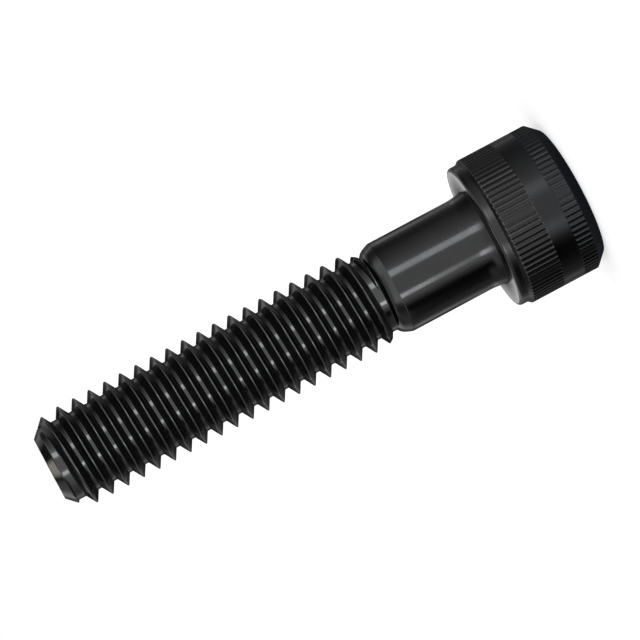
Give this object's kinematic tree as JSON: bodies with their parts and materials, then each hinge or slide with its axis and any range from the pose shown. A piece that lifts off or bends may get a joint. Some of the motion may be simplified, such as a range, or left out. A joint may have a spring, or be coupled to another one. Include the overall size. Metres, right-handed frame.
{
  "type": "hex socket cap screw",
  "caption": "Partly threaded steel cap screw with a knurled round head, an internal hex socket, a plain shank and a chamfered tip.",
  "frame": {"origin": "centre of the head's flat top face, on the surface that the screw stands on", "axes": "+Z along the screw's axis, from the head to the tip; the hex socket has two flats square to X"},
  "size_m": [0.0146, 0.0146, 0.0535],
  "materials": {
    "black_oxide_steel": "satin"
  },
  "bodies": {
    "root": {"cap_screw": "black_oxide_steel"}
  },
  "joints": []
}
